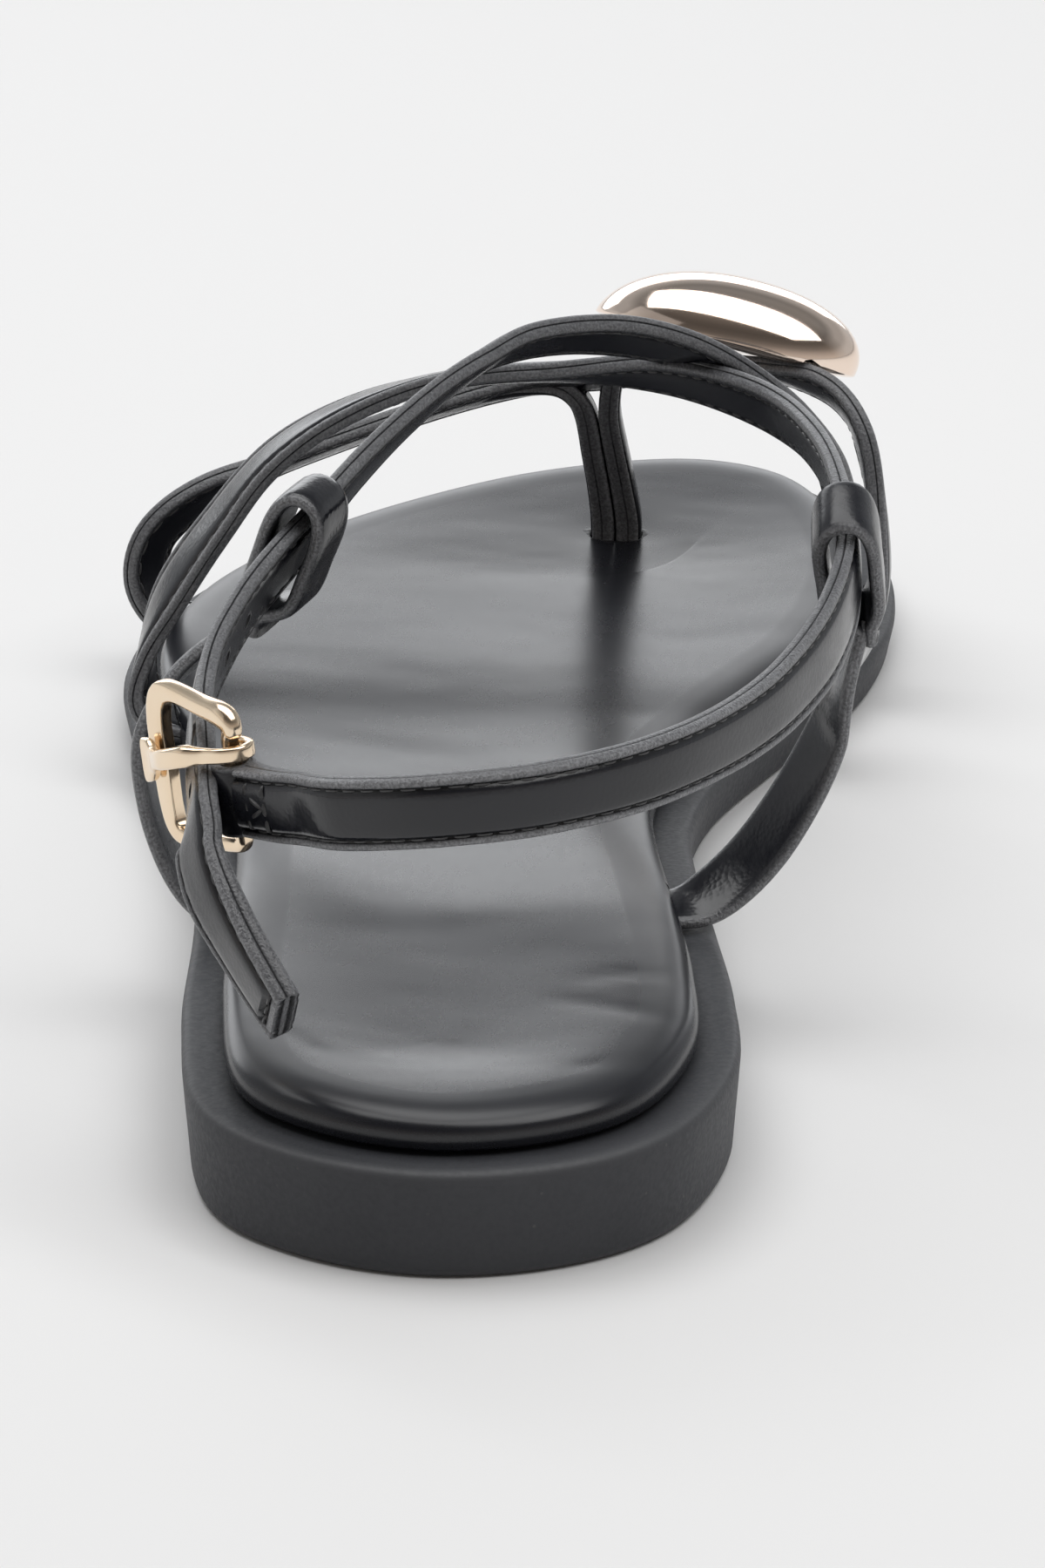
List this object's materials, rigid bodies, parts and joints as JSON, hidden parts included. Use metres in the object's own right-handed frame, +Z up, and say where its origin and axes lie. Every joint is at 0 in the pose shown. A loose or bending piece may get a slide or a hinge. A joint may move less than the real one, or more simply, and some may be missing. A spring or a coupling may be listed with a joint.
{
  "type": "toe post sandal",
  "caption": "Flat black leather sandal with crossed ankle and instep straps, a toe post, a pale gold buckle and a domed metal ornament.",
  "frame": {"origin": "on the floor under the middle of the heel, at the heel's resting face", "axes": "+Y towards the toe along the shoe, +Z up, -X towards the little toe side and +X towards the big toe side"},
  "size_m": [0.106, 0.2496, 0.0736],
  "materials": {
    "sole_rubber": "matt",
    "footbed_leather": "smooth, soft sheen",
    "strap_leather": "smooth, soft sheen",
    "pale_gold": "polished pale gold plating"
  },
  "bodies": {
    "root": {"outsole": "sole_rubber", "insole": "footbed_leather", "upper": "strap_leather", "toe_strap": "strap_leather", "lateral_keeper": "strap_leather", "medial_keeper": "strap_leather", "buckle": "pale_gold", "buckle_prong": "pale_gold", "ornament": "pale_gold"}
  },
  "joints": []
}
